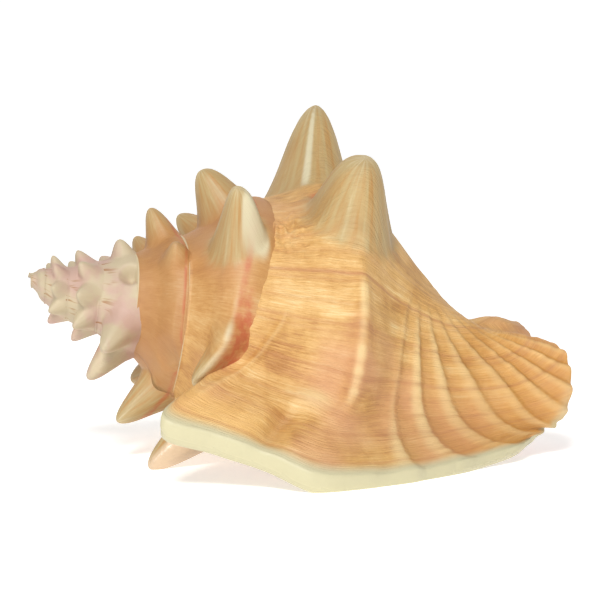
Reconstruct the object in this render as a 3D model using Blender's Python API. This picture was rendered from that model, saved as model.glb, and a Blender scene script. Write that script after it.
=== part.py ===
# Conch shell of one grown piece, lying on its aperture with the apex to the left.
# Every point is found in the shell's own measures: "along" runs down the coiling axis from the apex,
# "out" is the distance from that axis, and the angle turns round it, 0 at the top and growing
# towards the viewer. Lengths are in millimetres until the mesh is made.

import math

import bmesh
import bpy
import numpy as np

MM = 0.001

# How the coiling axis lies: turned from left-right, dipping to the front end, rolled about itself.
AXIS_TURN_DEG = 10.1
AXIS_DIP_DEG = 13.7
AXIS_ROLL_DEG = -2.5
APEX_AT = (-113.27, -8.28, 75.8)

# The seam where each turn meets the one before: angle, along, out.
SEAM = (
    (-1870, 0.4, 0.6), (-1620, 3.6, 3.4), (-1440, 6.6, 5.4), (-1080, 14.5, 9.4), (-720, 26.5, 13.6),
    (-360, 41.0, 18.0), (0, 57.5, 28.5), (180, 70.0, 38.0), (360, 84.0, 50.5), (425, 83.0, 49.5),
    (457, 80.5, 50.5), (480, 76.0, 51.5),
)
# The first turns sit a little below the line of the axis.
SPIRE_SAG = 3.2
SPIRE_SAG_AT = 19.0
SPIRE_SAG_LENGTH = 15.0

# Places across a turn, from the seam (0) over the ramp and the shoulder (0.44) to the front end (1).
ACROSS = (0.0, 0.10, 0.22, 0.34, 0.44, 0.56, 0.70, 0.82, 0.92, 1.0)
# The turns of the spire share one section, given in steps from their own seam to the next one.
SPIRE_ALONG = (0.0, 0.20, 0.45, 0.70, 0.95, 1.30, 1.70, 2.10, 2.50, 3.00)
SPIRE_OUT = (0.0, 0.13, 0.38, 0.82, 1.00, 1.00, 0.70, 0.30, 0.0, -0.30)
SPIRE_ANGLES = (-1870, -1620, -1440, -1260, -1080, -900, -720, -540, -360, -270, -180, -90, 0)
# From here on the front of each section is the pillar that the last turn winds round.
PILLAR_FROM = -270
PILLAR = ((112, 24), (140, 16), (172, 11), (204, 8))
# Sections of the last turn: growth, angle, then (along, out) at each place across it.
BODY = (
    (90, 90, (
        (64, 33), (67, 36), (72, 42), (78, 49), (88, 51), (106, 44), (135, 31), (162, 21), (185, 15), (206, 12))),
    (180, 180, (
        (70, 38), (74, 40), (80, 44), (86, 50), (94, 52), (112, 46), (140, 34), (168, 25), (190, 21.5), (208, 20))),
    (270, 270, (
        (77, 44), (82, 46), (90, 51), (99, 58), (108, 59), (124, 53), (150, 38), (176, 26), (195, 20), (211, 20))),
    (345, 345, (
        (83, 50), (89, 51), (98, 55), (108, 61), (118, 62), (136, 54), (157, 39), (180, 23), (196, 24), (210, 28))),
    (380, 380, (
        (84, 50.5), (90, 51), (100, 54), (112, 60), (123, 61), (141, 52), (161, 38.5), (184, 24), (200, 28), (213, 25))),
    (394, 394, (
        (84, 50), (90, 51), (101, 54), (113, 60), (125, 61), (142, 50), (163, 37.5), (188, 26), (204, 27), (216, 24))),
    (408, 408, (
        (83.5, 49.5), (90, 51), (102, 54), (114, 59), (126, 60), (143, 49), (166, 38), (191, 30), (209, 31.5), (222, 31.5))),
    (430, 430, (
        (83, 49.5), (90, 51), (103, 55), (116, 59), (129, 61), (145, 49), (169, 39), (195, 34), (213, 33.5), (227, 33.5))),
    (450, 450, (
        (81, 50), (89, 52), (102, 57), (117, 62), (131, 67), (146, 55), (170, 46), (197, 39.5), (214, 37), (228, 36))),
    (468, 466, (
        (77.5, 52), (86, 54), (99, 60), (116, 67), (130, 73), (145, 63), (170, 53.5), (195, 44.5), (212, 40), (226, 36.5))),
    (484, 472, (
        (74, 58), (72, 67), (88, 76), (105, 82), (121, 87), (142, 79), (168, 66), (192, 53), (209, 44), (222, 36))),
    (506, 476, (
        (71, 60), (57, 88), (78, 93.5), (98, 98), (115, 105.5), (138, 99), (166, 83), (190, 65), (207, 51), (218, 38))),
)
LIP_GROWTH = 506

# Spines: growth and place of the root, then along, out and angle of the tip, base radius, bluntness.
SPINES = (
    (338, 0.40, 108.8, 108.4, 338, 24, 1.8), (388, 0.44, 119.0, 86.0, 388, 22, 2.6),
    (0, 0.30, 60.7, 58.4, 0, 13.5, 2.3), (47, 0.32, 70.2, 71.5, 43, 13.5, 2.3),
    (96, 0.36, 78.0, 57.0, 97, 9, 2.0), (107, 0.36, 70.5, 58.0, 117, 9, 2.2), (152, 0.34, 63.1, 71.9, 152, 13, 2.0),
    (205, 0.38, 84.0, 62.0, 208, 17, 2.0), (250, 0.38, 92.0, 77.0, 252, 18, 2.0),
    (295, 0.38, 99.0, 83.0, 296, 19, 2.0),
    (-365, 0.34, 44.0, 38.7, -366, 9, 2.0), (-312, 0.34, 54.2, 37.6, -314, 8, 2.0),
    (-238, 0.38, 66.0, 34.2, -232, 9, 2.0), (-188, 0.34, 48.7, 51.8, -196, 11, 2.0),
    (-135, 0.34, 56.0, 50.0, -135, 11, 2.0), (-90, 0.34, 58.0, 52.0, -90, 11, 2.0),
    (-45, 0.34, 60.0, 55.0, -45, 11, 2.0),
    (-718, 0.36, 34.0, 23.7, -719, 6.2, 2.0), (-664, 0.38, 42.1, 13.0, -664, 5.5, 2.0),
    (-594, 0.34, 35.3, 36.6, -595, 8.5, 2.2), (-548, 0.34, 33.6, 36.0, -556, 8, 2.2),
    (-500, 0.36, 39.0, 35.0, -500, 7.5, 2.0), (-455, 0.36, 41.0, 36.0, -455, 7.5, 2.0),
    (-408, 0.36, 43.0, 38.0, -408, 8, 2.0),
)
SPINE_REACH_DEG = 42
# The share of a spine's height in its wide foot, how fast that foot falls off, and the steepness of the rest.
SPINE_SKIRT = 0.16
SKIRT_FALL = 0.77
SPINE_FOOT = 1.7
# Within this share of its radius a spine levels the slope it stands on.
SPINE_LEVELS = 0.7
# Knobs of the first turns, all by one rule: their tips and radii are shares of the next seam's radius.
KNOB_COUNT = 18
KNOB_FIRST_DEG = -765
KNOB_STEP_DEG = -45
KNOB_PLACE = 0.36
KNOB_FORWARD = 0.32
KNOB_OUT = 1.27
KNOB_RADIUS = 0.34
KNOB_LEAST = 0.3
KNOB_BLUNT = 2.0

# Raised ribs that fan out of one spot below the last spine, to the lip and the front end.
FAN_FROM = (385, 0.66)
FAN_MM_PER_PLACE = 200
FAN_BEND_DEG = 12
FAN_BEND_AT = 90
RIB_STEP_DEG = 10
RIB_FIRST_DEG = -2
RIB_HEIGHT = 1.5
# Each rib falls off steeply over this share of the step behind its crest, then rises to the next one.
RIB_FALL = 0.3
# Where the ribs fade in: by their distance from that spot, by growth and by place across.
RIBS_FROM_MM = (15, 70)
RIBS_FROM_GROWTH = (392, 415)
RIBS_FROM_PLACE = (0.54, 0.62)
# The keel below the last spine: height, place, width, and the growths it fades in and out over.
KEEL = (2.4, 0.425, 0.028)
KEEL_COMES = (408, 428)
KEEL_GOES = (462, 482)
# The crest beside the last seam, which starts further from it than it ends.
CREST = (1.1, 0.13, 0.018)
CREST_DRIFT = 0.06
CREST_DRIFTS = (440, 470)
CREST_COMES = (430, 445)
CREST_GOES = (486, 500)
# The fold across the lip, with the growth it lies at and how far it reaches.
FOLD = (1.8, 0.345, 0.05)
FOLD_AT = 471
FOLD_REACH = 5
# The groove in front of the lip's rim, mostly gone at its edge.
GROOVE = (3.2, 0.325, 0.032)
GROOVE_COMES = (472, 484)
GROOVE_GOES = (488, 506)
GROOVE_LOSES = 0.75

# The wall, and how it thickens into the lip.
WALL = 4.0
LIP_WALL = 8.4
LIP_THICKENS_FROM = 470
LIP_THINS_OVER = 0.45
LIP_HANGS = 1.6
HOLLOW_FROM = 200
CORE_TO = 223

VOXEL = 1.1
TRIANGLES = 9300


def smooth_through(knots, rows, wanted):
    """A cubic through the knots, with slopes taken from the rows on both sides."""
    knots = np.asarray(knots, float)
    rows = np.asarray(rows, float)
    wanted = np.clip(np.asarray(wanted, float), knots[0], knots[-1])
    gaps = np.diff(knots)
    spread = (-1,) + (1,) * (rows.ndim - 1)
    chords = np.diff(rows, axis=0) / gaps.reshape(spread)
    slopes = np.concatenate((chords[:1], chords[1:], chords[-1:]))
    before = gaps[:-1].reshape(spread)
    after = gaps[1:].reshape(spread)
    slopes[1:-1] = (chords[:-1] * after + chords[1:] * before) / (before + after)
    cell = np.clip(np.searchsorted(knots, wanted, side="right") - 1, 0, len(knots) - 2)
    spread = (-1,) + (1,) * (rows.ndim - 1)
    gap = gaps[cell].reshape(spread)
    x = ((wanted - knots[cell]) / gaps[cell]).reshape(spread)
    return (
        (2 * x**3 - 3 * x**2 + 1) * rows[cell]
        + (x**3 - 2 * x**2 + x) * gap * slopes[cell]
        + (3 * x**2 - 2 * x**3) * rows[cell + 1]
        + (x**3 - x**2) * gap * slopes[cell + 1]
    )


def seam_at(angle):
    """(along, out) of the seam at one angle."""
    angles = [row[0] for row in SEAM]
    places = [row[1:] for row in SEAM]
    return smooth_through(angles, places, [angle])[0]


def section_table():
    """Growths, angles and sections of the whole coil, from the apex to the lip."""
    growths = []
    angles = []
    sections = []
    for angle in SPIRE_ANGLES:
        own = seam_at(angle)
        step = seam_at(angle + 360) - own
        section = [
            (own[0] + a * step[0], max(0.3, own[1] + r * step[1])) for a, r in zip(SPIRE_ALONG, SPIRE_OUT)
        ]
        if angle >= PILLAR_FROM:
            section[-len(PILLAR):] = PILLAR
        growths.append(angle)
        angles.append(angle)
        sections.append(section)
    for growth, angle, section in BODY:
        growths.append(growth)
        angles.append(angle)
        sections.append(section)
    return growths, angles, np.array(sections, float)


GROWTHS, ANGLES, SECTIONS = section_table()


def shell_axes():
    """Unit vectors in the world: down the axis, square to it towards angle 0, and towards angle 90."""
    turn = math.radians(AXIS_TURN_DEG)
    dip = math.radians(AXIS_DIP_DEG)
    roll = math.radians(AXIS_ROLL_DEG)
    axis = np.array((math.cos(dip) * math.cos(turn), math.cos(dip) * math.sin(turn), -math.sin(dip)))
    top = np.array((math.sin(dip) * math.cos(turn), math.sin(dip) * math.sin(turn), math.cos(dip)))
    side = np.cross(axis, top)
    zero = math.cos(roll) * top + math.sin(roll) * side
    return axis, zero, np.cross(axis, zero)


AXIS, ZERO, QUARTER = shell_axes()


def place(along, out, angle_deg):
    """World points, in millimetres, of places given in the shell's own measures."""
    angle = np.radians(angle_deg)
    sag = SPIRE_SAG * np.exp(-(((along - SPIRE_SAG_AT) / SPIRE_SAG_LENGTH) ** 2))
    up = (out * np.cos(angle) - sag)[..., None] * ZERO
    forward = (out * np.sin(angle))[..., None] * QUARTER
    return np.array(APEX_AT) + along[..., None] * AXIS + up + forward


def all_spines():
    """The listed spines, then the knobs of the first turns."""
    spines = list(SPINES)
    for number in range(KNOB_COUNT):
        growth = KNOB_FIRST_DEG + number * KNOB_STEP_DEG
        own = seam_at(growth)
        following = seam_at(growth + 360)
        along = own[0] + KNOB_FORWARD * (following[0] - own[0])
        radius = KNOB_RADIUS * following[1] + KNOB_LEAST
        spines.append((growth, KNOB_PLACE, along, following[1] * KNOB_OUT, growth, radius, KNOB_BLUNT))
    return spines


def bare_surface(growths, across):
    """The outside of the coil without its spines, as rows of points."""
    sections = smooth_through(GROWTHS, SECTIONS, growths)
    angles = smooth_through(GROWTHS, ANGLES, growths)
    rows = smooth_through(ACROSS, np.moveaxis(sections, 1, 0), across)
    along = rows[..., 0].T
    out = rows[..., 1].T
    return place(along, out, np.repeat(angles[:, None], len(across), axis=1))


def outward(points):
    """Unit normals of a grid of points, facing away from the axis."""
    down = np.gradient(points, axis=0)
    across = np.gradient(points, axis=1)
    normal = np.cross(down, across)
    return normal / np.maximum(np.linalg.norm(normal, axis=-1, keepdims=True), 1e-9)


def eased(values, start, stop):
    """0 up to the start, 1 from the stop on, and smooth between."""
    x = np.clip((values - start) / (stop - start), 0, 1)
    return x * x * (3 - 2 * x)


def ridge(spot, shape):
    """A round ridge along the coil, of a height, at a place and of a width."""
    height, at, width = shape
    return height * np.exp(-(((spot - at) / width) ** 2))


def relief(growths, across):
    """Heights of the ribs, the keel, the seam's crest and the lip's fold over the bare coil."""
    growth = np.asarray(growths, float)[:, None]
    spot = np.asarray(across, float)[None, :]
    forward = growth - FAN_FROM[0]
    down = FAN_MM_PER_PLACE * (spot - FAN_FROM[1])
    reach = np.hypot(forward, down)
    bearing = np.degrees(np.arctan2(down, forward)) - FAN_BEND_DEG * (reach / FAN_BEND_AT) ** 2
    phase = (bearing - RIB_FIRST_DEG) / RIB_STEP_DEG
    beyond = phase - np.floor(phase)
    saw = (1 - eased(beyond, 0.0, RIB_FALL)) + eased(beyond, RIB_FALL, 1.0)
    strength = eased(reach, *RIBS_FROM_MM) * eased(growth, *RIBS_FROM_GROWTH) * eased(spot, *RIBS_FROM_PLACE)
    ribs = RIB_HEIGHT * strength * (saw - 0.5)
    keel = ridge(spot, KEEL) * eased(growth, *KEEL_COMES) * (1 - eased(growth, *KEEL_GOES))
    drift = CREST_DRIFT * (1 - eased(growth, *CREST_DRIFTS))
    crest = ridge(spot - drift, CREST) * eased(growth, *CREST_COMES) * (1 - eased(growth, *CREST_GOES))
    fold = ridge(spot, FOLD) * np.exp(-(((growth - FOLD_AT) / FOLD_REACH) ** 2))
    groove = ridge(spot, GROOVE) * eased(growth, *GROOVE_COMES) * (1 - GROOVE_LOSES * eased(growth, *GROOVE_GOES))
    return ribs + keel + crest + fold - groove


def spined_surface(growths, across):
    """The outside of the coil, each spine drawn out of it towards its tip."""
    growths = np.asarray(growths, float)
    bare = bare_surface(growths, across)
    points = bare + relief(growths, across)[..., None] * outward(bare)
    for growth, spot, along, out, angle, radius, blunt in all_spines():
        near = np.abs(growths - growth) < SPINE_REACH_DEG
        if not near.any():
            continue
        root = bare_surface([growth], [spot])[0, 0]
        tip = place(np.array(along), np.array(out), np.array(angle))
        pull = tip - root
        heading = pull / np.linalg.norm(pull)
        offset = bare[near] - root
        distance = np.linalg.norm(offset, axis=-1) / radius
        cone = np.clip(1 - distance**blunt, 0, None) ** SPINE_FOOT
        skirt = np.exp(-SKIRT_FALL * distance**2)
        lift = (1 - SPINE_SKIRT) * cone + SPINE_SKIRT * skirt
        level = np.clip(1 - (distance / SPINE_LEVELS) ** 2, 0, None) ** 2
        points[near] += lift[..., None] * pull - (level * (offset @ heading))[..., None] * heading
    return points


def add_tube(bm, rings, flat_ends):
    """A closed skin over rings of points. A ring's flat end is one face, and a wall's end is a strip across it."""
    made = []
    for ring in rings:
        made.append([bm.verts.new(tuple(point * MM)) for point in ring])
    count = len(rings[0])
    for first, second in zip(made, made[1:]):
        for i in range(count):
            j = (i + 1) % count
            bm.faces.new((first[i], second[i], second[j], first[j]))
    ends = (list(reversed(made[0])), made[-1])
    for end in ends:
        if flat_ends:
            bm.faces.new(end)
            continue
        for i in range(count // 2 - 1):
            bm.faces.new((end[i], end[i + 1], end[-2 - i], end[-1 - i]))


def core_rings():
    """The solid turns: each section runs from the seam to the front end and back along the axis."""
    spire = np.arange(-1870, -360, 6.0)
    rest = np.arange(-360, CORE_TO + 0.1, 4.0)
    growths = np.concatenate((spire, rest))
    across = np.linspace(0, 1, 64)
    points = spined_surface(growths, across)
    sections = smooth_through(GROWTHS, SECTIONS, growths)
    first = place(sections[:, 0, 0], np.full(len(growths), 0.2), growths + 180)
    last = place(sections[:, -1, 0], np.full(len(growths), 0.2), growths + 180)
    return np.concatenate((points, last[:, None], first[:, None]), axis=1)


def wall_rings():
    """The hollow last turn: the outside, then the inside one wall's thickness below it."""
    growths = np.concatenate((np.arange(HOLLOW_FROM, 440, 4.0), np.linspace(440, LIP_GROWTH, 34)))
    across = np.linspace(0, 1, 64)
    outside = spined_surface(growths, across)
    bare = bare_surface(growths, across)
    ripe = np.clip((growths - LIP_THICKENS_FROM) / (LIP_GROWTH - LIP_THICKENS_FROM), 0, 1)[:, None]
    rim = np.clip((1 - across) / LIP_THINS_OVER, 0, 1)[None, :]
    thick = WALL + (LIP_WALL - WALL) * ripe**1.5 * rim
    inward = outward(bare) + LIP_HANGS * ripe[..., None] * np.array((0, 0, 1))
    inward /= np.linalg.norm(inward, axis=-1, keepdims=True)
    inside = bare - thick[..., None] * inward
    return np.concatenate((outside, inside[:, ::-1]), axis=1)


def keep_largest_island(mesh):
    """Drops the crumbs that the thin corners of the lip leave beside the shell."""
    bm = bmesh.new()
    bm.from_mesh(mesh)
    unseen = set(bm.verts)
    islands = []
    while unseen:
        island = set()
        waiting = [unseen.pop()]
        while waiting:
            vert = waiting.pop()
            island.add(vert)
            for edge in vert.link_edges:
                other = edge.other_vert(vert)
                if other in unseen:
                    unseen.discard(other)
                    waiting.append(other)
        islands.append(island)
    islands.sort(key=len)
    crumbs = [vert for island in islands[:-1] for vert in island]
    bmesh.ops.delete(bm, geom=crumbs, context="VERTS")
    bm.to_mesh(mesh)
    bm.free()


def shell_object():
    """The solid turns and the hollow one grown together into a single skin."""
    bm = bmesh.new()
    add_tube(bm, core_rings(), True)
    add_tube(bm, wall_rings(), False)
    bmesh.ops.recalc_face_normals(bm, faces=bm.faces)
    mesh = bpy.data.meshes.new("conch_shell")
    bm.to_mesh(mesh)
    bm.free()
    shell = bpy.data.objects.new("conch_shell", mesh)
    bpy.context.scene.collection.objects.link(shell)
    grow = shell.modifiers.new("grown_together", "REMESH")
    grow.mode = "VOXEL"
    grow.voxel_size = VOXEL * MM
    graph = bpy.context.evaluated_depsgraph_get()
    whole = bpy.data.meshes.new_from_object(shell.evaluated_get(graph))
    keep_largest_island(whole)
    shell.modifiers.clear()
    shell.data = whole
    whole.calc_loop_triangles()
    thin = shell.modifiers.new("fewer_facets", "DECIMATE")
    thin.ratio = TRIANGLES / len(whole.loop_triangles)
    thin.use_collapse_triangulate = True
    return shell


def floor_cutter():
    """A slab below the resting plane, which flattens the places the shell lies on."""
    bm = bmesh.new()
    bmesh.ops.create_cube(bm, size=1.0)
    bmesh.ops.scale(bm, vec=(0.4, 0.4, 0.02), verts=bm.verts)
    bmesh.ops.translate(bm, vec=(0, 0, -0.01), verts=bm.verts)
    mesh = bpy.data.meshes.new("floor_cutter")
    bm.to_mesh(mesh)
    bm.free()
    cutter = bpy.data.objects.new("floor_cutter", mesh)
    bpy.context.scene.collection.objects.link(cutter)
    cutter.hide_render = True
    cutter.display_type = "WIRE"
    return cutter


def shell_material():
    """Weathered aragonite, peach over cream."""
    material = bpy.data.materials.new("weathered_shell")
    material.use_nodes = True
    surface = material.node_tree.nodes["Principled BSDF"]
    surface.inputs["Base Color"].default_value = (0.76, 0.47, 0.22, 1)
    surface.inputs["Roughness"].default_value = 0.5
    return material


def main():
    for obj in list(bpy.data.objects):
        bpy.data.objects.remove(obj, do_unlink=True)
    shell = shell_object()
    shell.data.materials.append(shell_material())
    shell.data.shade_smooth()
    shell.data.set_sharp_from_angle(angle=math.radians(40))
    flatten = shell.modifiers.new("resting_plane", "BOOLEAN")
    flatten.operation = "DIFFERENCE"
    flatten.solver = "EXACT"
    flatten.object = floor_cutter()


main()
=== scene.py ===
import math

import bmesh
import bpy
import numpy as np
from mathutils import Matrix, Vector, noise


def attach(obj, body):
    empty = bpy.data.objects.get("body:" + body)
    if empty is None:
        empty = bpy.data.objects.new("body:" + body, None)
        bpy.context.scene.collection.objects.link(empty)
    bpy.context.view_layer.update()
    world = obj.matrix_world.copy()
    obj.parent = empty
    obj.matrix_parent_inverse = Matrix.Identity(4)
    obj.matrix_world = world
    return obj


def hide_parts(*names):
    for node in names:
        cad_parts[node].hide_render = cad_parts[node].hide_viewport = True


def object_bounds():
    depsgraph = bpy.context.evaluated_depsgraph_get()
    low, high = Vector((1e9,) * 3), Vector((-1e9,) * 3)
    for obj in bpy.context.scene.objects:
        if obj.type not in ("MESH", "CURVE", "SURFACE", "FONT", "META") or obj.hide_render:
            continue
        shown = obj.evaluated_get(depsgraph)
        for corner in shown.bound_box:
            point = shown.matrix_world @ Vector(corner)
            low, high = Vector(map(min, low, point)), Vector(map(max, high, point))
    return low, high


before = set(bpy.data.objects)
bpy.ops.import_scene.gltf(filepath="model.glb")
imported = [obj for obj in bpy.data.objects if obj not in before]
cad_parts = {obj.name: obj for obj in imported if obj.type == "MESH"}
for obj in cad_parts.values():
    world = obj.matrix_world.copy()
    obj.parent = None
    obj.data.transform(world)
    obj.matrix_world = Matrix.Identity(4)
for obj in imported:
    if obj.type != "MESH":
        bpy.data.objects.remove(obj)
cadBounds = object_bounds()
mm = 0.001

# The coil is measured in mm along its axis from the apex and out from that axis, and by an angle
# that is 0 at the top and grows towards the viewer. A place's growth is how far round, in degrees,
# the growing edge stood when it was laid down.
coil = {
    "turn": 10.1, "dip": 13.7, "roll": -2.5,  # how the axis lies
    "apex": (-113.27, -8.28, 75.8),
    "sag": 3.2, "sagAt": 19.0, "sagLength": 15.0,  # the tip of the spire bends down a little
}
ages = {"apex": -1790, "spireEnd": -205, "hollow": 200, "front": 380, "lip": 504.9}

# the seam where each turn meets the one before: growth, along, out
seamPath = (
    (-1870, 0.4, 0.6), (-1620, 3.6, 3.4), (-1440, 6.6, 5.4), (-1080, 14.5, 9.4), (-720, 26.5, 13.6),
    (-360, 41.0, 18.0), (0, 57.5, 28.5), (180, 70.0, 38.0), (360, 84.0, 50.5), (425, 83.0, 49.5),
    (457, 80.5, 50.5), (480, 76.0, 51.5),
)

# places across a turn: 0 is the seam, 0.44 the shoulder, 1 the front end
spots = (0.0, 0.10, 0.22, 0.34, 0.44, 0.56, 0.70, 0.82, 0.92, 1.0)
spireTurn = {
    "angles": (-1870, -1620, -1440, -1260, -1080, -900, -720, -540, -360, -270, -180, -90, 0),
    "along": (0.0, 0.20, 0.45, 0.70, 0.95, 1.30, 1.70, 2.10, 2.50, 3.00),  # steps to the next seam
    "out": (0.0, 0.13, 0.38, 0.82, 1.00, 1.00, 0.70, 0.30, 0.0, -0.30),
    "pillarFrom": -270, "pillar": ((112, 24), (140, 16), (172, 11), (204, 8)),
}

# the last turn: growth, angle, then along and out at each place across it
bodyTurn = (
    (90, 90, (64, 67, 72, 78, 88, 106, 135, 162, 185, 206), (33, 36, 42, 49, 51, 44, 31, 21, 15, 12)),
    (180, 180, (70, 74, 80, 86, 94, 112, 140, 168, 190, 208), (38, 40, 44, 50, 52, 46, 34, 25, 21.5, 20)),
    (270, 270, (77, 82, 90, 99, 108, 124, 150, 176, 195, 211), (44, 46, 51, 58, 59, 53, 38, 26, 20, 20)),
    (345, 345, (83, 89, 98, 108, 118, 136, 157, 180, 196, 210), (50, 51, 55, 61, 62, 54, 39, 23, 24, 28)),
    (380, 380, (84, 90, 100, 112, 123, 141, 161, 184, 200, 213),
        (50.5, 51, 54, 60, 61, 52, 38.5, 24, 28, 25)),
    (394, 394, (84, 90, 101, 113, 125, 142, 163, 188, 204, 216), (50, 51, 54, 60, 61, 50, 37.5, 26, 27, 24)),
    (408, 408, (83.5, 90, 102, 114, 126, 143, 166, 191, 209, 222),
        (49.5, 51, 54, 59, 60, 49, 38, 30, 31.5, 31.5)),
    (430, 430, (83, 90, 103, 116, 129, 145, 169, 195, 213, 227),
        (49.5, 51, 55, 59, 61, 49, 39, 34, 33.5, 33.5)),
    (450, 450, (81, 89, 102, 117, 131, 146, 170, 197, 214, 228), (50, 52, 57, 62, 67, 55, 46, 39.5, 37, 36)),
    (468, 466, (77.5, 86, 99, 116, 130, 145, 170, 195, 212, 226),
        (52, 54, 60, 67, 73, 63, 53.5, 44.5, 40, 36.5)),
    (484, 472, (74, 72, 88, 105, 121, 142, 168, 192, 209, 222), (58, 67, 76, 82, 87, 79, 66, 53, 44, 36)),
    (506, 476, (71, 57, 78, 98, 115, 138, 166, 190, 207, 218), (60, 88, 93.5, 98, 105.5, 99, 83, 65, 51, 38)),
)

# horns: growth and place of the root, along, out and angle of the tip, root's radius, bluntness
hornList = (
    (338, 0.40, 108.8, 108.4, 338, 24, 1.8), (388, 0.44, 119.0, 86.0, 388, 22, 2.6),
    (0, 0.30, 60.7, 58.4, 0, 13.5, 2.3), (47, 0.32, 70.2, 71.5, 43, 13.5, 2.3),
    (96, 0.36, 78.0, 57.0, 97, 9, 2.0), (107, 0.36, 70.5, 58.0, 117, 9, 2.2),
    (152, 0.34, 63.1, 71.9, 152, 13, 2.0),
    (205, 0.38, 84.0, 62.0, 208, 17, 2.0), (250, 0.38, 92.0, 77.0, 252, 18, 2.0),
    (295, 0.38, 99.0, 83.0, 296, 19, 2.0),
    (-365, 0.34, 44.0, 38.7, -366, 9, 2.0), (-312, 0.34, 54.2, 37.6, -314, 8, 2.0),
    (-238, 0.38, 66.0, 34.2, -232, 9, 2.0), (-188, 0.34, 48.7, 51.8, -196, 11, 2.0),
    (-135, 0.34, 56.0, 50.0, -135, 11, 2.0), (-90, 0.34, 58.0, 52.0, -90, 11, 2.0),
    (-45, 0.34, 60.0, 55.0, -45, 11, 2.0),
    (-718, 0.36, 34.0, 23.7, -719, 6.2, 2.0), (-664, 0.38, 42.1, 13.0, -664, 5.5, 2.0),
    (-594, 0.34, 35.3, 36.6, -595, 8.5, 2.2), (-548, 0.34, 33.6, 36.0, -556, 8, 2.2),
    (-500, 0.36, 39.0, 35.0, -500, 7.5, 2.0), (-455, 0.36, 41.0, 36.0, -455, 7.5, 2.0),
    (-408, 0.36, 43.0, 38.0, -408, 8, 2.0),
)
# the small knobs of the first turns follow one rule; radius and reach come from the turn's own size
knobs = {
    "count": 18, "first": -765, "step": -45, "spot": 0.36,
    "forward": 0.32, "out": 1.27, "radius": 0.34, "least": 0.3, "blunt": 2.0,
}


def smoothThrough(knots, rows, wanted):
    # a smooth curve through rows of numbers, read at the wanted places
    knots = np.asarray(knots, float)
    rows = np.asarray(rows, float)
    wanted = np.clip(np.asarray(wanted, float), knots[0], knots[-1])
    gaps = np.diff(knots)
    spread = (-1,) + (1,) * (rows.ndim - 1)
    chords = np.diff(rows, axis=0) / gaps.reshape(spread)
    slopes = np.concatenate((chords[:1], chords[1:], chords[-1:]))
    before = gaps[:-1].reshape(spread)
    after = gaps[1:].reshape(spread)
    slopes[1:-1] = (chords[:-1] * after + chords[1:] * before) / (before + after)
    cell = np.clip(np.searchsorted(knots, wanted, side="right") - 1, 0, len(knots) - 2)
    gap = gaps[cell].reshape(spread)
    x = ((wanted - knots[cell]) / gaps[cell]).reshape(spread)
    value = (2 * x**3 - 3 * x**2 + 1) * rows[cell] + (3 * x**2 - 2 * x**3) * rows[cell + 1]
    return value + gap * ((x**3 - 2 * x**2 + x) * slopes[cell] + (x**3 - x**2) * slopes[cell + 1])


def seamAt(growth):
    return smoothThrough([row[0] for row in seamPath], [row[1:] for row in seamPath], [growth])[0]


def allSections():
    # the spire's turns are drawn from seam to seam, the last turn from its own table
    growths, angles, sections = [], [], []
    for angle in spireTurn["angles"]:
        own = seamAt(angle)
        step = seamAt(angle + 360) - own
        shape = zip(spireTurn["along"], spireTurn["out"])
        section = [(own[0] + a * step[0], max(0.3, own[1] + r * step[1])) for a, r in shape]
        if angle >= spireTurn["pillarFrom"]:
            section[-4:] = spireTurn["pillar"]
        growths.append(angle)
        angles.append(angle)
        sections.append(section)
    for growth, angle, along, out in bodyTurn:
        growths.append(growth)
        angles.append(angle)
        sections.append(list(zip(along, out)))
    return growths, angles, np.array(sections, float)


def coilAxes():
    turn, dip, roll = (math.radians(coil[key]) for key in ("turn", "dip", "roll"))
    axis = np.array((math.cos(dip) * math.cos(turn), math.cos(dip) * math.sin(turn), -math.sin(dip)))
    top = np.array((math.sin(dip) * math.cos(turn), math.sin(dip) * math.sin(turn), math.cos(dip)))
    zero = math.cos(roll) * top + math.sin(roll) * np.cross(axis, top)
    return axis, zero, np.cross(axis, zero)


sectionGrowths, sectionAngles, sections = allSections()
axisDown, axisZero, axisQuarter = coilAxes()


def place(along, out, angle):
    # from the coil's own measures to a point in mm
    turned = np.radians(angle)
    sag = coil["sag"] * np.exp(-(((along - coil["sagAt"]) / coil["sagLength"]) ** 2))
    up = (out * np.cos(turned) - sag)[..., None] * axisZero
    forward = (out * np.sin(turned))[..., None] * axisQuarter
    return np.array(coil["apex"]) + along[..., None] * axisDown + up + forward


def allHorns():
    found = list(hornList)
    for number in range(knobs["count"]):
        growth = knobs["first"] + number * knobs["step"]
        own, following = seamAt(growth), seamAt(growth + 360)
        along = own[0] + knobs["forward"] * (following[0] - own[0])
        radius = knobs["radius"] * following[1] + knobs["least"]
        out = following[1] * knobs["out"]
        found.append((growth, knobs["spot"], along, out, growth, radius, knobs["blunt"]))
    return found


def bareCoil(growths, across):
    rows = smoothThrough(sectionGrowths, sections, growths)
    angles = smoothThrough(sectionGrowths, sectionAngles, growths)
    rows = smoothThrough(spots, np.moveaxis(rows, 1, 0), across)
    return place(rows[..., 0].T, rows[..., 1].T, np.repeat(angles[:, None], len(across), axis=1))


def outward(points, growths, across):
    down = np.gradient(points, growths, axis=0)
    side = np.gradient(points, across, axis=1)
    normal = np.cross(down, side)
    return normal / np.maximum(np.linalg.norm(normal, axis=-1, keepdims=True), 1e-9)


def eased(values, start, stop):
    x = np.clip((values - start) / (stop - start), 0, 1)
    return x * x * (3 - 2 * x)


def between(values, comes, goes):
    return eased(values, *comes) * (1 - eased(values, *goes))


def bump(values, at, width):
    return np.exp(-(((values - at) / width) ** 2))


def patch(form, growth, spot):
    return bump(growth, form["growth"], form["reach"]) * bump(spot, form["spot"], form["width"])


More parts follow.
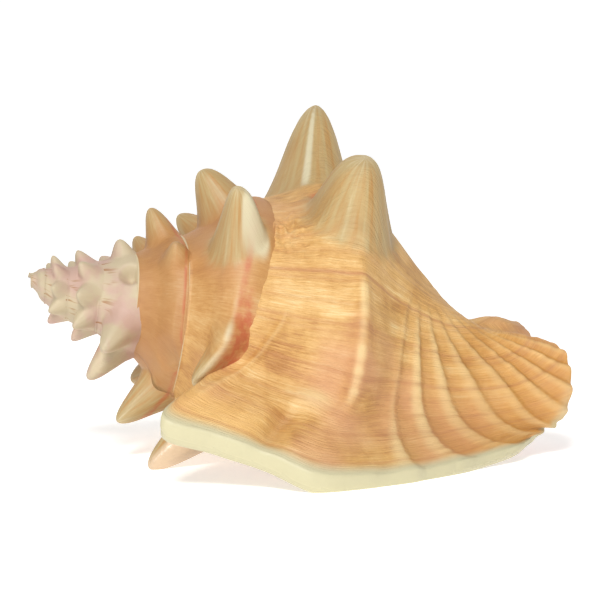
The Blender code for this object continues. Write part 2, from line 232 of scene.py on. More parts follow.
def grain(x, y, kind):
    # soft uneven waves, the same in every run; a kind is their length in x and in y, and a seed
    lengthX, lengthY, seed = kind
    x, y = np.broadcast_arrays(x / lengthX, y / lengthY)
    made = [noise.noise((a, b, seed)) for a, b in zip(x.ravel(), y.ravel())]
    return np.array(made).reshape(x.shape)


# Forms on the outside. Heights, depths and spacings are in mm; comes and goes are growths.
fan = {"growth": 385, "spot": 0.66, "mmPerSpot": 200, "bend": 12, "bendAt": 90, "comes": (0.60, 0.78)}
ribs = {
    "step": 10, "first": -2, "height": 1.7, "fall": 0.3,  # degrees round the fan's root
    "fromMm": (15, 70), "fromGrowth": (392, 415), "fromSpot": (0.54, 0.62), "beads": 0.8,
}
keel = {"height": 2.4, "spot": 0.425, "width": 0.024, "comes": (408, 428), "goes": (462, 482)}
seamCrest = {
    "height": 1.1, "spot": 0.13, "width": 0.018, "drift": 0.06, "drifts": (440, 470),
    "comes": (430, 445), "goes": (486, 500),
}
lipFold = {"height": 2.5, "spot": 0.345, "width": 0.05, "growth": 471, "reach": 5}
rimGroove = {
    "depth": 3.8, "spot": 0.325, "width": 0.032, "comes": (472, 484), "fills": (488, 506), "share": 0.75,
}
pit = {"depth": 2.5, "spot": 0.305, "width": 0.028, "growth": 375, "reach": 5}
wrinkles = {"height": 1.5, "spot": 0.17, "width": 0.09, "growth": 401, "reach": 13, "spacing": 3.5}
olderCords = {
    "height": 0.5, "spots": (0.46, 0.50, 0.54, 0.58), "width": 0.008,
    "comes": (-330, -300), "goes": (-262, -238),
}
seamCord = {"height": 0.5, "spot": 0.018, "width": 0.010, "comes": (-660, -600), "goes": (440, 470)}
# the ridge with a red flank below the middle horn, and a small one like it a turn earlier
ridges = {
    "height": 1.6, "width": 0.03, "flankOff": 0.048, "flankWidth": 0.032,
    "each": (  # share of the height, spot, comes, goes
        (1.0, 0.37, (58, 92), (101, 114)), (0.45, 0.38, (-292, -262), (-246, -230)),
    ),
}
# where growth paused and left a thin step: growth and strength
halts = {
    "depth": 0.22, "width": 0.9,
    "each": (
        (404, 0.5), (412, 0.3), (421, 0.9), (424, 0.4), (433, 0.3), (441, 0.8), (444, 0.5), (453, 0.3),
        (458, 0.7), (464, 0.2), (473, 0.4), (482, 0.6), (485, 0.3), (493, 0.2), (498, 0.5),
    ),
}
threads = {"height": 0.16, "waveHeight": 0.35, "wander": 1.2, "length": 190}
# uneven waves on the surface: mm across and along the growth lines, and a seed
grains = {
    "wander": (40, 45, 4.0), "thread": (2.6, 34, 7.0), "wave": (9.0, 70, 9.0), "ridge": (9, 20, 21.0),
    "bead": (3.2, 9, 12.0), "fold": (9, 9, 3.0), "wrinkle": (1, 5, 15.0), "fray": (14, 14, 41.0),
    "hornEnd": (4, 4, 33.0),
}


def measures(growth, spot):
    # how far across and along the growth lines a place lies, and its bearing and distance from the fan's
    # root; towards the front end the growth lines swing round that root
    forward = growth - fan["growth"]
    down = fan["mmPerSpot"] * (spot - fan["spot"])
    reach = np.hypot(np.maximum(forward, 0), down)
    inFan = np.where(down > 0, reach + np.minimum(forward, 0), forward + 0 * down)
    blend = eased(spot, *fan["comes"])
    line = (1 - blend) * forward + blend * inFan
    distance = np.hypot(forward, down)
    bearing = np.degrees(np.arctan2(down, forward)) - fan["bend"] * (distance / fan["bendAt"]) ** 2
    return line, threads["length"] * spot + 0 * growth, bearing, distance


def largeForms(growth, spot, bearing, distance):
    # each form's share of its full height, at every place
    phase = (bearing - ribs["first"]) / ribs["step"]
    beyond = phase - np.floor(phase)
    fanned = eased(distance, *ribs["fromMm"]) * eased(growth, *ribs["fromGrowth"])
    fanned = fanned * eased(spot, *ribs["fromSpot"])
    drift = seamCrest["drift"] * (1 - eased(growth, *seamCrest["drifts"]))
    groove = bump(spot, rimGroove["spot"], rimGroove["width"]) * eased(growth, *rimGroove["comes"])
    crest = bump(spot - drift, seamCrest["spot"], seamCrest["width"])
    cords = sum(bump(spot, at, olderCords["width"]) for at in olderCords["spots"])
    return {
        "saw": 1 - eased(beyond, 0.0, ribs["fall"]) + eased(beyond, ribs["fall"], 1.0),  # one side is steep
        "fanned": fanned,
        "keel": bump(spot, keel["spot"], keel["width"]) * between(growth, keel["comes"], keel["goes"]),
        "crest": crest * between(growth, seamCrest["comes"], seamCrest["goes"]),
        "fold": patch(lipFold, growth, spot),
        "pit": patch(pit, growth, spot),
        "wrinkled": patch(wrinkles, growth, spot),
        "groove": groove * (1 - rimGroove["share"] * eased(growth, *rimGroove["fills"])),
        "cords": cords * between(growth, olderCords["comes"], olderCords["goes"]),
        "seamCord": bump(spot, seamCord["spot"], seamCord["width"]) * (1 - eased(growth, *seamCord["goes"])),
    }


def reliefOf(growths, across):
    # height over the bare coil in mm, and what the colours follow at each place
    growth = growths[:, None]
    spot = across[None, :]
    line, cross, bearing, distance = measures(growth, spot)
    forms = largeForms(growth, spot, bearing, distance)
    saw, fanned = forms["saw"], forms["fanned"]
    wander = threads["wander"] * grain(line, cross, grains["wander"])
    fine = grain(line + wander, cross, grains["thread"])
    wave = grain(line + wander, cross, grains["wave"])
    stepped = line + 0.8 * wander
    halt = sum(strong * bump(stepped, at - fan["growth"], halts["width"]) for at, strong in halts["each"])
    beads = fanned * saw * grain(line, bearing, grains["bead"])
    folded = line / wrinkles["spacing"] + 2 * grain(line, cross, grains["fold"])
    wrinkle = forms["wrinkled"] * grain(folded, cross, grains["wrinkle"])
    ridge, flank = 0, 0
    for share, at, comes, goes in ridges["each"]:
        held = between(growth, comes, goes)
        ridge = ridge + share * bump(spot, at, ridges["width"]) * held
        flank = flank + share**2 * bump(spot, at + ridges["flankOff"], ridges["flankWidth"]) * held
    ridge = ridge * (0.75 + 0.5 * grain(line, cross, grains["ridge"]))
    fresh = eased(growth, 120, 300) * eased(spot, 0.0, 0.05)  # the older turns are worn smoother
    height = ribs["height"] * fanned * (saw - 0.5) + keel["height"] * forms["keel"]
    height = height + seamCrest["height"] * forms["crest"] + lipFold["height"] * forms["fold"]
    height = height - rimGroove["depth"] * forms["groove"] - pit["depth"] * forms["pit"]
    height = height + olderCords["height"] * forms["cords"] + seamCord["height"] * forms["seamCord"]
    threaded = threads["height"] * fine + threads["waveHeight"] * wave - halts["depth"] * halt
    height = height + fresh * threaded
    height = height + ribs["beads"] * beads + wrinkles["height"] * wrinkle + ridges["height"] * ridge
    contactAt = 0.444 - 0.06 * eased(growth, 0, 90)  # just above where the next turn lies on this one
    # painted highlight: the keel's top and the seam crest are made paler here, partly pale crests and partly
    # light catching them
    raised = forms["keel"] ** 3 * (0.85 + 0.5 * fine) + 0.4 * forms["crest"] ** 2
    rootWear = bump(growth, 51, 9) * between(spot, (0.33, 0.37), (0.45, 0.50))  # below the middle horn
    marks = {
        # crest: paler on the lip fold, the rib tops and the keel, partly the crests' own pale colour and
        # partly painted highlight
        "crest": np.clip(0.9 * forms["fold"] + fanned * (saw * 1.6 - 0.6) + raised, -1, 1.3),
        "halt": np.clip(halt, 0, 1) * fresh,
        # hollow: painted shade in the rim groove, on the steep step behind each rib and in the pit
        "hollow": np.clip(forms["groove"] + 0.8 * fanned * (1 - saw) + forms["pit"], 0, 1),
        # red: in the pit it is painted shade, on the ridge's flank it is the shell's own red
        "red": 0.8 * forms["pit"] + flank,
        "front": eased(spot, 0.60, 0.85) * eased(growth, 370, 430),  # the fan, deeper in colour
        "shelf": (1 - eased(spot, 0.24, 0.36)) * eased(growth, 478, 494),  # the lip's golden corner
        "cord": (1 - eased(spot, 0.010, 0.026)) * between(growth, seamCord["comes"], seamCord["goes"]),
        # contact: a red-brown line just above where the next turn lies, partly a stain and partly painted
        # shade in that crease
        "contact": bump(spot, contactAt, 0.016) * between(growth, (-700, -600), (60, 140)),
        "worn": np.clip(0.9 * ridge**2 + rootWear, 0, 1),
        "line": line + wander,
        "cross": cross + 0 * line,
        "growth": growth + 0 * spot,
        "spot": spot + 0 * growth,
    }
    return height, marks


hornShape = {
    "reach": 42, "skirt": 0.16, "skirtFall": 0.77, "foot": 1.7, "levels": 0.7, "pull": 0.994,
    "flutes": 0.55, "edge": 1.0, "fluteCount": 2.6,  # flutes and edge in mm
    "fullLength": 26, "leastTone": 0.25,  # a horn this long in mm is bleached most, a knob least
}
# each edge is a ridge down one side of a horn, raised a little and painted paler: partly bleached, partly
# painted highlight where the ridge catches light
hornEdges = ((338, -20, 7, 1.0), (388, 60, 9, 0.5), (47, 75, 12, 0.6))  # root's growth, bearing, width, share
# the glossy deposit spreads out of the opening over the turn before it, and ends in a frayed line
callus = {
    "fray": 9, "comes": (-60, 0), "goes": (176, 190), "spot": 0.52, "widens": 0.26, "widensAt": (100, 118),
}


def pullHorn(horn, bare, near, marks):
    # how far each near place moves when a horn is drawn out of the turn; marks get the horn's own measures
    growth, spot, along, out, angle, radius, blunt = horn
    own = bareCoil(np.array([growth - 0.5, growth + 0.5]), np.array([spot, spot + 0.01]))
    root = own[0, 0]
    tip = place(np.array(along), np.array(out), np.array(angle))
    pull = tip - root
    heading = pull / np.linalg.norm(pull)
    offset = bare[near] - root
    distance = np.linalg.norm(offset, axis=-1) / radius
    cone = np.clip(1 - distance**blunt, 0, None) ** hornShape["foot"]
    skirt = np.exp(-hornShape["skirtFall"] * distance**2)
    lift = (1 - hornShape["skirt"]) * cone + hornShape["skirt"] * skirt
    level = np.clip(1 - (distance / hornShape["levels"]) ** 2, 0, None) ** 2
    height = offset @ heading

    following = bareCoil(np.array([growth, growth + 1.0]), np.array([spot, spot + 0.01]))
    onward, over = following[1, 0] - following[0, 0], following[0, 1] - following[0, 0]
    u, v = offset @ (onward / np.linalg.norm(onward)), offset @ (over / np.linalg.norm(over))
    unit = np.maximum(np.hypot(u, v), 1e-6)
    count = hornShape["fluteCount"]
    flutes = grain(count * u / unit, count * v / unit, (1, 1, growth / 7.0))
    flutes = flutes * np.clip(distance * 2.5, 0, 1) * np.sqrt(cone)
    bearing = np.degrees(np.arctan2(v, u))
    # the side ridge, painted paler partly as a painted highlight
    edge = sum(share * bump(bearing, turn, wide) for at, turn, wide, share in hornEdges if at == growth)
    edge = edge * np.clip(distance * 3, 0, 1) * eased(distance, 1.25, 0.8) + 0 * cone
    size = np.clip(np.linalg.norm(pull) / hornShape["fullLength"], hornShape["leastTone"], 1)
    side = offset - height[..., None] * heading
    side = side / np.maximum(np.linalg.norm(side, axis=-1, keepdims=True), 1e-6)

    ragged = distance + 0.12 * grain(u, v, grains["hornEnd"])
    faded = eased(ragged, 0.20 + 0.40 * size, 0.80 + 0.65 * size)
    tone = size * (1 - faded)
    nearest = tone > marks["horn"][near]
    found = {"hornX": u / unit, "hornY": v / unit, "hornFar": distance, "hornEdge": edge, "horn": tone}
    for name, value in found.items():
        marks[name][near] = np.where(nearest, value, marks[name][near])
    drawn = hornShape["pull"] * lift[..., None] * pull - (level * height)[..., None] * heading
    return drawn + (hornShape["flutes"] * size * flutes + hornShape["edge"] * edge)[..., None] * side


def hornedCoil(growths, across):
    bare = bareCoil(growths, across)
    height, marks = reliefOf(growths, across)
    points = bare + height[..., None] * outward(bare, growths, across)
    for name in ("horn", "hornX", "hornY", "hornFar", "hornEdge"):
        marks[name] = np.zeros(bare.shape[:2])
    for horn in allHorns():
        near = np.abs(growths - horn[0]) < hornShape["reach"]
        if near.any():
            points[near] += pullHorn(horn, bare, near, marks)
    frayed = growths[:, None] + callus["fray"] * grain(marks["line"], marks["cross"], grains["fray"])
    start = callus["spot"] - callus["widens"] * eased(frayed, *callus["widensAt"])
    covered = (1 - eased(frayed, *callus["goes"])) * eased(across[None, :] - start, 0.0, 0.08)
    marks["callus"] = covered * eased(growths, *callus["comes"])[:, None]
    return points, marks


print("coil and its forms set up")

# The last turn is a wall round a hollow, thicker towards the lip.
wall = {
    "thick": 4.0, "lipThick": 8.4, "thickensFrom": 470, "thinsOver": 0.45, "hangs": 1.6,
    "bulge": 0.42, "rimSteps": 7, "edgeSteps": 8,
    "acrossCount": 226, "acrossEnd": 0.992, "insideEvery": 5, "turnRows": 110, "frontRows": 166,
}


def roundEdge(outside, inside, end, neighbour, angles):
    # columns that lead round one edge of the wall, with the share of lining on each
    middle = (outside[:, end] + inside[:, end]) / 2
    half = (outside[:, end] - inside[:, end]) / 2
    step = outside[:, end] - outside[:, neighbour]
    beyond = step / np.linalg.norm(step, axis=-1, keepdims=True)
    size = np.linalg.norm(half, axis=-1, keepdims=True)
    columns = []
    for angle in angles:
        swing = 0.5 * abs(math.sin(angle)) * size * beyond
        columns.append((middle + math.cos(angle) * half + swing, middle, end, 0.5 - 0.5 * math.cos(angle)))
    return columns


def wallRings(growths, across):
    # one ring for each growth: outside from the seam to the front end, round the edge, inside and back
    outside, marks = hornedCoil(growths, across)
    bare = bareCoil(growths, across)
    ripe = np.clip((growths - wall["thickensFrom"]) / (ages["lip"] - wall["thickensFrom"]), 0, 1)
    thin = np.clip((1 - across) / wall["thinsOver"], 0, 1)[None, :]
    thick = wall["thick"] + (wall["lipThick"] - wall["thick"]) * ripe[:, None] ** 1.5 * thin
    inward = outward(bare, growths, across) + wall["hangs"] * ripe[:, None, None] * np.array((0, 0, 1))
    inward = inward / np.linalg.norm(inward, axis=-1, keepdims=True)
    inside = bare - thick[..., None] * inward

    last = len(across) - 1
    inner = np.arange(0, last + 1, wall["insideEvery"])  # the smooth inside needs fewer points
    half = math.pi / wall["edgeSteps"]
    columns = [(outside[:, at], (outside[:, at] + inside[:, at]) / 2, at, 0.0) for at in range(last + 1)]
    columns += roundEdge(outside, inside, last, last - 1, [half * n for n in range(1, wall["edgeSteps"] + 1)])
    columns += [(inside[:, at], (outside[:, at] + inside[:, at]) / 2, at, 1.0) for at in inner[-2:0:-1]]
    columns += roundEdge(outside, inside, 0, 1, [math.pi + half * n for n in range(wall["edgeSteps"])])
    ring = np.stack([column[0] for column in columns], axis=1)
    middle = np.stack([column[1] for column in columns], axis=1)
    picked = np.array([column[2] for column in columns])

    # the lip closes over its own edge, and both sides meet in the inside's points
    forward = middle[-1] - middle[-3]
    forward = forward / np.maximum(np.linalg.norm(forward, axis=-1, keepdims=True), 1e-9)
    half = ring[-1] - middle[-1]
    bulge = wall["bulge"] * np.linalg.norm(half, axis=-1, keepdims=True) * forward
    closing = []
    for number in range(1, wall["rimSteps"]):
        angle = math.pi / 2 * number / wall["rimSteps"]
        closing.append(middle[-1] + math.cos(angle) * half + math.sin(angle) * bulge)
    shared = [inner[np.argmin(np.abs(inner - at))] for at in picked]
    closing.append((middle[-1] + bulge)[shared])
    ring = np.concatenate((ring, np.stack(closing)), axis=0)

    extra = len(closing)
    marks = {name: np.pad(v[:, picked], ((0, extra), (0, 0)), mode="edge") for name, v in marks.items()}
    marks["deposit"] = np.repeat(np.array([[column[3] for column in columns]]), len(ring), axis=0)
    frontEnd = eased(marks["spot"], 0.965, 0.99) * eased(marks["growth"], 430, 480)
    marks["rim"] = np.maximum(eased(marks["growth"], 497.5, 504.5), 0.8 * frontEnd)
    return ring, marks


def coreRings(growths, across):
    # a solid turn: outside from the seam to the front end, then back along the axis
    outside, marks = hornedCoil(growths, across)
    rows = smoothThrough(sectionGrowths, sections, growths)
    nearAxis = np.full(len(growths), 0.2)
    first = place(rows[:, 0, 0], nearAxis, growths + 180)
    last = place(rows[:, -1, 0], nearAxis, growths + 180)
    ring = np.concatenate((outside, last[:, None], first[:, None]), axis=1)
    marks = {name: np.pad(v, ((0, 0), (0, 2)), mode="edge") for name, v in marks.items()}
    marks["deposit"] = np.zeros(ring.shape[:2])
    marks["rim"] = np.zeros(ring.shape[:2])
    return ring, marks


def wrapGrid(name, ring, marks, material):
    # a flat grid is wrapped round the coil, its seam welded, its ends closed and the resting places cut level
    rows, columns = ring.shape[:2]
    bm = bmesh.new()
    bmesh.ops.create_grid(bm, x_segments=columns, y_segments=rows - 1, size=1.0)
    bm.verts.ensure_lookup_table()
    flat = np.array([vert.co[:2] for vert in bm.verts])
    column = np.rint((flat[:, 0] + 1) / 2 * columns).astype(int) % columns
    row = np.rint((flat[:, 1] + 1) / 2 * (rows - 1)).astype(int)
    lowest = (cadBounds[0][0], cadBounds[0][1], -1)
    placed = np.clip(ring[row, column] * mm, lowest, cadBounds[1])  # within the solid's box
    for vert, co in zip(bm.verts, placed):
        vert.co = co
    for key, value in marks.items():
        layer = bm.verts.layers.float.new(key)
        for vert, number in zip(bm.verts, value[row, column].tolist()):
            vert[layer] = number
    bmesh.ops.remove_doubles(bm, verts=bm.verts, dist=0.00002)
    ends = [edge for edge in bm.edges if edge.is_boundary]
    bmesh.ops.holes_fill(bm, edges=ends, sides=0)
    whole = bm.verts[:] + bm.edges[:] + bm.faces[:]
    bmesh.ops.bisect_plane(
        bm, geom=whole, dist=0.000001, plane_co=(0, 0, 0), plane_no=(0, 0, -1), clear_outer=True
    )
    resting = [edge for edge in bm.edges if edge.is_boundary]
    if resting:
        bmesh.ops.holes_fill(bm, edges=resting, sides=0)
    bmesh.ops.triangulate(bm, faces=[face for face in bm.faces if len(face.verts) > 4])
    bmesh.ops.recalc_face_normals(bm, faces=bm.faces)
    for face in bm.faces:
        face.smooth = True
    mesh = bpy.data.meshes.new(name)
    bm.to_mesh(mesh)
    bm.free()
    mesh.materials.append(material)
    piece = bpy.data.objects.new(name, mesh)
    bpy.context.scene.collection.objects.link(piece)
    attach(piece, "root")
    print(name, len(mesh.polygons), "faces")
    return piece


def linear(code):
    parts = [int(code[i:i + 2], 16) / 255 for i in (1, 3, 5)]
    return tuple(p / 12.92 if p <= 0.04045 else ((p + 0.055) / 1.055) ** 2.4 for p in parts) + (1.0,)


def addNode(tree, kind, settings, sockets, stops=(), out=0):
    # a socket is given another node's output, a hex colour or a number; stops are a colour ramp's
    node = tree.nodes.new("ShaderNode" + kind)
    for key, value in settings.items():
        setattr(node, key, value)
    for number, (position, code) in enumerate(stops):
        elements = node.color_ramp.elements
        element = elements[number] if number < 2 else elements.new(position)
        element.position = position
        element.color = linear(code)
    for key, value in sockets.items():
        if isinstance(value, bpy.types.NodeSocket):
            tree.links.new(value, node.inputs[key])
        else:
            node.inputs[key].default_value = linear(value) if isinstance(value, str) else value
    return node.outputs[out]


# Weathered aragonite, laid down thread by thread along the growing edge: it looks dull to satin, ochre and
# cream in fine uneven threads with soft blotches, bleached on horns and ridges, and red-brown where a turn
# lies on the next. Some of the colour is painted light: the paler crests and one side ridge of some horns are
# partly a painted highlight; the rust-brown in the grooves, rib steps and pit is painted shade; the darker
# older turns and the red-brown line where a turn lies on the next are partly painted shade
weathered = {
    "rustAndShade": "#B57F43", "ochre": "#CF9E59", "peach": "#DDB16F", "cream": "#EACD94", "amber": "#D8963F",
    "gold": "#EFBF74", "horn": "#AE8346", "ivory": "#B3A072", "bleachedAndHighlight": "#D6CDAC", "pink": "#D39A72",
    "red": "#B85A38", "olderTurnsShade": "#AB7849", "halt": "#B5794F",
    "spirePink": "#C2A292", "spireWhite": "#C3B394", "spireBrown": "#9C6A38",
    "roughness": 0.5, "ior": 1.55, "threadDepth": 0.0011, "threadStrength": 0.65,
}
# Porcelain deposit, smooth aragonite that lines the opening: it looks glossy, pink deep inside and cream at
# the rim
porcelain = {"deep": "#D98C78", "pink": "#E6AE98", "cream": "#CAC29D", "roughness": 0.22}

# streaks along the growth lines: waves to the mm across and along them, detail, seed. The real threads are
# finer than the thin ones here, which are as fine as the render shows.
streaks = {
    "broad": (0.10, 0.008, 2.0, 1.0), "fine": (1.3, 0.06, 5.0, 5.0),
    "thin": (1.6, 0.10, 5.0, 11.0), "stain": (0.13, 0.012, 2.0, 31.0),
}
# blotches from 6 to 45 mm across: waves to the metre, detail
blotches = {"mottled": (60.0, 5.0), "blush": (22.0, 2.0), "chips": (160.0, 4.0), "spire": (70.0, 3.0)}

# colours laid over one another in this order: what each follows, its colour, where it starts and is full,
# and its strength
washes = (
    # older turns: tinted darker and pinker; the pink is their own colour, the darkening is partly painted
    # shade
    ("blush", "pink", 0.46, 0.72, 0.70), ("growth", "olderTurnsShade", 170, 20, 0.75),
    # crest: cream, partly pale crests and partly painted highlight; hollow: a rust-brown painted shade in
    # grooves, rib steps and the pit
    ("crest", "cream", 0.1, 1.0, 0.70), ("hollow", "rustAndShade", 0.2, 1.0, 0.45),
    ("front", "amber", 0.0, 1.0, 0.45), ("shelf", "gold", 0.0, 1.0, 0.60), ("halt", "halt", 0.0, 1.0, 1.20),
    # hornEdge: the pale side ridge of three horns, partly bleached and partly painted highlight
    ("horn", "fluted", 0.05, 0.8, 0.85), ("hornEdge", "bleachedAndHighlight", 0.2, 0.9, 0.80),
    # contact: red-brown above where the next turn lies, partly a stain and partly painted shade in the crease
    ("contact", "red", 0.1, 0.9, 0.60), ("cord", "bleachedAndHighlight", 0.2, 0.9, 0.75),
    # red: painted shade in the pit, the shell's own red on the ridge flank
    ("red", "red", 0.1, 0.9, 0.85), ("worn", "bleachedAndHighlight", 0.2, 0.9, 0.85),
    ("growth", "spire", -420, -540, 1.0), ("rim", "rim", 0.0, 1.0, 1.0), ("lined", "lining", 0.3, 1.0, 1.0),
)
straight = ("front", "shelf", "halt", "rim")  # these come up evenly, the others softly
brokenBy = {"halt": "broad", "contact": "chips", "red": "chips"}


def shellMaterial():
    material = bpy.data.materials.new("weatheredAragonite")
    material.use_nodes = True
    tree = material.node_tree
    surface = tree.nodes["Principled BSDF"]
    times, plus, largest = ({"operation": name} for name in ("MULTIPLY", "ADD", "MAXIMUM"))
    soft = {"interpolation_type": "SMOOTHSTEP"}
    even = {"interpolation_type": "LINEAR"}
    colours = {"data_type": "RGBA"}
    noiseLook = {"Scale": 1.0, "Roughness": 0.6}

    read = {}
    for name in (
        "line", "cross", "growth", "spot", "crest", "hollow", "front", "shelf", "halt", "cord", "contact",
        "red", "worn", "horn", "hornX", "hornY", "hornFar", "hornEdge", "rim", "deposit", "callus",
    ):
        read[name] = addNode(tree, "Attribute", {"attribute_name": name}, {}, out="Fac")
    where = addNode(tree, "TexCoord", {}, {}, out="Object")
    for name, (across, along, detail, seed) in streaks.items():
        x = addNode(tree, "Math", times, {0: read["line"], 1: across})
        y = addNode(tree, "Math", times, {0: read["cross"], 1: along})
        at = addNode(tree, "CombineXYZ", {}, {"X": x, "Y": y, "Z": seed})
        read[name] = addNode(tree, "TexNoise", {}, {"Vector": at, "Detail": detail} | noiseLook)
    for name, (scale, detail) in blotches.items():
        look = noiseLook | {"Scale": scale, "Detail": detail}
        read[name] = addNode(tree, "TexNoise", {}, {"Vector": where} | look)
    read["chips"] = addNode(tree, "MapRange", soft, {
        "Value": read["chips"], "From Min": 0.38, "From Max": 0.60, "To Min": 0.35, "To Max": 1.0,
    })

    # the ground: threads, broad bands and blotches together choose from rust to cream
    mottled = addNode(tree, "MapRange", soft, {"Value": read["mottled"], "From Min": 0.34, "From Max": 0.66})
    ground = addNode(tree, "Math", times, {0: read["broad"], 1: 0.34})
    for pattern, share in ((read["fine"], 0.46), (mottled, 0.16)):
        part = addNode(tree, "Math", times, {0: pattern, 1: share})
        ground = addNode(tree, "Math", plus, {0: ground, 1: part})
    # the darkest thread colour is the shell's own rust-brown; in the hollows the same colour is used as
    # painted shade
    groundStops = (
        (0.34, weathered["rustAndShade"]), (0.45, weathered["ochre"]),
        (0.55, weathered["peach"]), (0.66, weathered["cream"]),
    )
    colour = addNode(tree, "ValToRGB", {}, {"Fac": ground}, stops=groundStops)

    # horns: flutes run from root to tip, and the tip is paler
    x = addNode(tree, "Math", times, {0: read["hornX"], 1: 5.0})
    y = addNode(tree, "Math", times, {0: read["hornY"], 1: 5.0})
    z = addNode(tree, "Math", times, {0: read["hornFar"], 1: 1.3})
    at = addNode(tree, "CombineXYZ", {}, {"X": x, "Y": y, "Z": z})
    flutes = addNode(tree, "TexNoise", {}, {"Vector": at, "Detail": 4.0} | noiseLook)
    tip = addNode(tree, "MapRange", soft, {
        "Value": read["hornFar"], "From Min": 0.65, "From Max": 0.0, "To Min": -0.06, "To Max": 0.14,
    })
    paler = addNode(tree, "Math", plus, {0: flutes, 1: tip})
    hornStops = ((0.26, weathered["horn"]), (0.54, weathered["ivory"]), (0.86, weathered["bleachedAndHighlight"]))
    fluted = addNode(tree, "ValToRGB", {}, {"Fac": paler}, stops=hornStops)

    # first turns: white and pink, with brown stains beside the seam
    spireStops = ((0.42, weathered["spireWhite"]), (0.6, weathered["spirePink"]))
    spirePaint = addNode(tree, "ValToRGB", {}, {"Fac": read["spire"]}, stops=spireStops)
    beside = addNode(tree, "MapRange", soft, {"Value": read["spot"], "From Min": 0.30, "From Max": 0.04})
    stain = addNode(tree, "MapRange", soft, {
        "Value": read["stain"], "From Min": 0.54, "From Max": 0.66, "To Max": 0.9,
    })
    stain = addNode(tree, "Math", times, {0: beside, 1: stain})
    spirePaint = addNode(tree, "Mix", colours, {0: stain, 6: spirePaint, 7: weathered["spireBrown"]}, out=2)

    # lining: pink deep inside, cream towards the lip and where the deposit thins out
    read["lined"] = addNode(tree, "Math", largest, {0: read["deposit"], 1: read["callus"]})
    lipward = addNode(tree, "MapRange", soft, {"Value": read["growth"], "From Min": 420, "From Max": 500})
    thinned = addNode(tree, "MapRange", soft, {"Value": read["callus"], "From Min": 0.0, "From Max": 0.5})
    thinned = addNode(tree, "Math", times, {0: thinned, 1: 0.85})
    toCream = addNode(tree, "Math", plus, {0: lipward, 1: thinned})
    liningStops = ((0.0, porcelain["deep"]), (0.6, porcelain["pink"]), (1.0, porcelain["cream"]))
    lining = addNode(tree, "ValToRGB", {}, {"Fac": toCream}, stops=liningStops)

    paints = weathered | {"fluted": fluted, "spire": spirePaint, "rim": porcelain["cream"], "lining": lining}
    for follows, paint, low, high, strength in washes:
        amount = addNode(tree, "MapRange", even if follows in straight else soft, {
            "Value": read[follows], "From Min": low, "From Max": high, "To Max": strength,
        })
        if follows in brokenBy:
            amount = addNode(tree, "Math", times, {0: amount, 1: read[brokenBy[follows]]})
        colour = addNode(tree, "Mix", colours, {0: amount, 6: colour, 7: paints[paint]}, out=2)
    tree.links.new(colour, surface.inputs["Base Color"])

    gloss = addNode(tree, "MapRange", soft, {
        "Value": read["lined"], "From Min": 0.3, "From Max": 1.0,
        "To Min": weathered["roughness"], "To Max": porcelain["roughness"],
    })
    threadGloss = addNode(tree, "Math", times, {0: read["fine"], 1: 0.08})
    tree.links.new(addNode(tree, "Math", plus, {0: gloss, 1: threadGloss}), surface.inputs["Roughness"])
    fresh = addNode(tree, "MapRange", soft, {
        "Value": read["growth"], "From Min": 60, "From Max": 260, "To Min": 0.3, "To Max": 1.0,
    })
    height = addNode(tree, "Math", times, {0: read["thin"], 1: fresh})
    threadNormal = addNode(tree, "Bump", {}, {
        "Strength": weathered["threadStrength"], "Distance": weathered["threadDepth"], "Height": height,
    })
    tree.links.new(threadNormal, surface.inputs["Normal"])
    surface.inputs["IOR"].default_value = weathered["ior"]
    return material


material = shellMaterial()

behind = np.linspace(ages["hollow"], ages["front"], wall["turnRows"], endpoint=False)
wallGrowths = np.concatenate((behind, np.linspace(ages["front"], ages["lip"], wall["frontRows"])))
ring, marks = wallRings(wallGrowths, np.linspace(0, wall["acrossEnd"], wall["acrossCount"]))
lastTurn = wrapGrid("last_turn", ring, marks, material)

innerGrid = {"rows": 330, "across": 150}
innerGrowths = np.linspace(ages["spireEnd"], ages["hollow"], innerGrid["rows"])
ring, marks = coreRings(innerGrowths, np.linspace(0, 1, innerGrid["across"]))
innerTurn = wrapGrid("inner_turn", ring, marks, material)

spireGrid = {"rows": 620, "shown": 44, "covered": 7}  # the next turn covers the front half of each turn
shown = np.linspace(0, 0.5, spireGrid["shown"])
covered = np.linspace(0.56, 1, spireGrid["covered"])
spireGrowths = np.linspace(ages["apex"], ages["spireEnd"], spireGrid["rows"])
ring, marks = coreRings(spireGrowths, np.concatenate((shown, covered)))
spire = wrapGrid("spire", ring, marks, material)

for piece in (lastTurn, innerTurn, spire):
    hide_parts("conch_shell")

# Matte paper lit from behind, so that it shows nearly white and takes a faint shadow; sizes in metres
paper = {
    "width": 6.0, "depth": 1.2, "bend": 0.6, "bendSteps": 24, "height": 3.0, "front": 3.0,
    "colour": "#F7F7F5", "glow": "#FFFFFF", "glowStrength": 0.50, "roughness": 0.9,
}


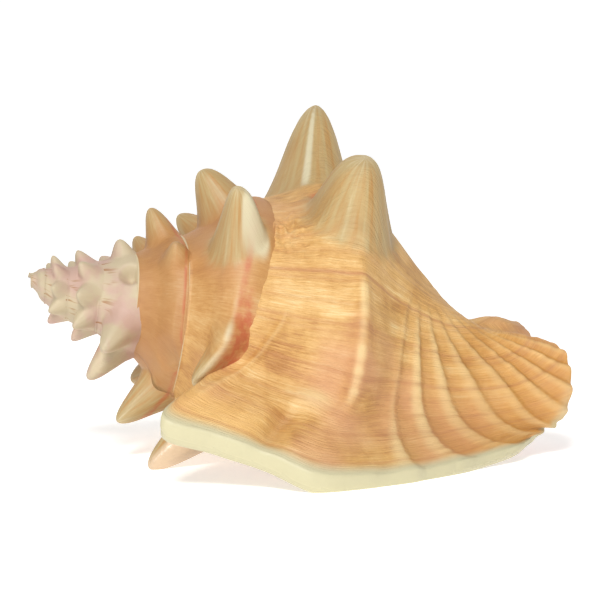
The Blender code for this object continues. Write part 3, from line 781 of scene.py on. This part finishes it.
def paperSweep():
    # a sheet that lies under the shell and rises behind it in one round bend
    bm = bmesh.new()
    depth, bend = paper["depth"], paper["bend"]
    profile = [(0, -paper["front"], 0), (0, depth, 0)]
    angles = np.linspace(0, math.pi / 2, paper["bendSteps"])[1:]
    profile += [(0, depth + bend * math.sin(a), bend - bend * math.cos(a)) for a in angles]
    profile.append((0, depth + bend, paper["height"]))
    verts = [bm.verts.new(Vector(p) - Vector((paper["width"] / 2, 0, 0))) for p in profile]
    edges = [bm.edges.new(pair) for pair in zip(verts, verts[1:])]
    made = bmesh.ops.extrude_edge_only(bm, edges=edges)
    moved = [item for item in made["geom"] if isinstance(item, bmesh.types.BMVert)]
    bmesh.ops.translate(bm, verts=moved, vec=(paper["width"], 0, 0))
    bmesh.ops.recalc_face_normals(bm, faces=bm.faces)
    for face in bm.faces:
        face.smooth = True
    mesh = bpy.data.meshes.new("paper_sweep")
    bm.to_mesh(mesh)
    bm.free()
    sheet = bpy.data.materials.new("matteStudioPaper")
    sheet.use_nodes = True
    surface = sheet.node_tree.nodes["Principled BSDF"]
    surface.inputs["Base Color"].default_value = linear(paper["colour"])
    surface.inputs["Roughness"].default_value = paper["roughness"]
    surface.inputs["Emission Color"].default_value = linear(paper["glow"])
    surface.inputs["Emission Strength"].default_value = paper["glowStrength"]
    mesh.materials.append(sheet)
    sweep = bpy.data.objects.new("paper_sweep", mesh)
    bpy.context.scene.collection.objects.link(sweep)


# one soft lamp high on the left, and even weak light from all round
keyLight = {"at": (-0.15, -0.95, 0.95), "aim": (0, 0, 0.06), "size": 0.35, "watts": 15.5, "allRound": 0.22}


def studioLight():
    data = bpy.data.lights.new("key", "AREA")
    data.size = keyLight["size"]
    data.energy = keyLight["watts"]
    lamp = bpy.data.objects.new("key", data)
    lamp.location = keyLight["at"]
    towards = Vector(keyLight["aim"]) - Vector(keyLight["at"])
    lamp.rotation_euler = towards.to_track_quat("-Z", "Y").to_euler()
    bpy.context.scene.collection.objects.link(lamp)
    world = bpy.data.worlds.new("studio")
    world.use_nodes = True
    world.node_tree.nodes["Background"].inputs["Color"].default_value = (1, 1, 1, 1)
    world.node_tree.nodes["Background"].inputs["Strength"].default_value = keyLight["allRound"]
    bpy.context.scene.world = world
    bpy.context.scene.view_settings.view_transform = "Standard"


# the shell fills most of the frame from 0.75 m away, seen from 5 degrees above
view = {"aim": (-0.001004, 0.011721, 0.063399), "away": 0.75, "above": 5, "lens": 107.14, "sensor": 36}


def photoCamera():
    data = bpy.data.cameras.new("camera")
    data.sensor_width = view["sensor"]
    data.lens = view["lens"]
    camera = bpy.data.objects.new("camera", data)
    above = math.radians(view["above"])
    camera.location = Vector(view["aim"]) + view["away"] * Vector((0, -math.cos(above), math.sin(above)))
    camera.rotation_euler = (math.pi / 2 - above, 0, 0)
    bpy.context.scene.collection.objects.link(camera)
    bpy.context.scene.camera = camera


paperSweep()
studioLight()
photoCamera()
print("stage, light and camera set")
